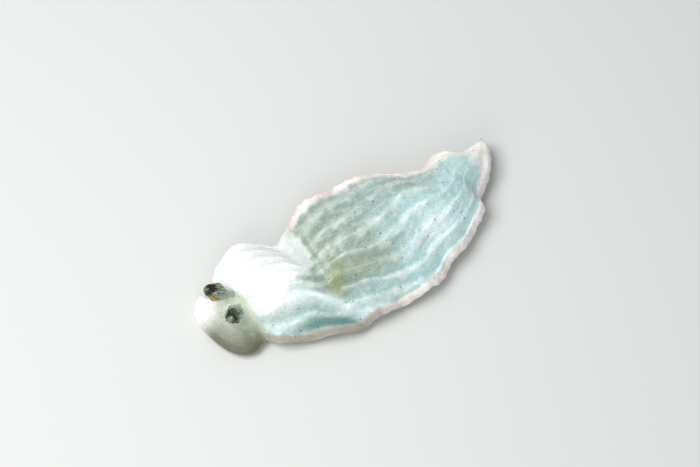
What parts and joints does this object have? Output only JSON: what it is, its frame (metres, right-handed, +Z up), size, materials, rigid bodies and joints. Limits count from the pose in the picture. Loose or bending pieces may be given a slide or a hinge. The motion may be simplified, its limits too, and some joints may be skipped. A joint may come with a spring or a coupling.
{
  "type": "dermatobranchus fasciatus sea slug",
  "caption": "Small arminid sea slug creeping on its sole: ridged leaf-shaped mantle with a wavy edge, half-moon oral veil and two ribbed rhinophores.",
  "frame": {"origin": "on the floor plane under the flat sole, near the middle of the animal", "axes": "+Z up from the sole; head toward -X and tail toward +X along the length; the animal's right side toward +Y"},
  "size_m": [0.0148, 0.0062, 0.0028],
  "materials": {
    "mantle_skin": "wet, pale turquoise to white flesh",
    "body_skin": "wet, translucent cream flesh",
    "rhinophore_skin": "wet, glossy olive black"
  },
  "bodies": {
    "root": {"mantle_front": "mantle_skin", "mantle_back": "mantle_skin", "mantle_tail": "mantle_skin", "trunk": "body_skin", "foot": "body_skin", "foot_tail": "body_skin", "head": "body_skin", "oral_veil": "body_skin", "rhinophore_left": "rhinophore_skin", "rhinophore_right": "rhinophore_skin"}
  },
  "joints": []
}
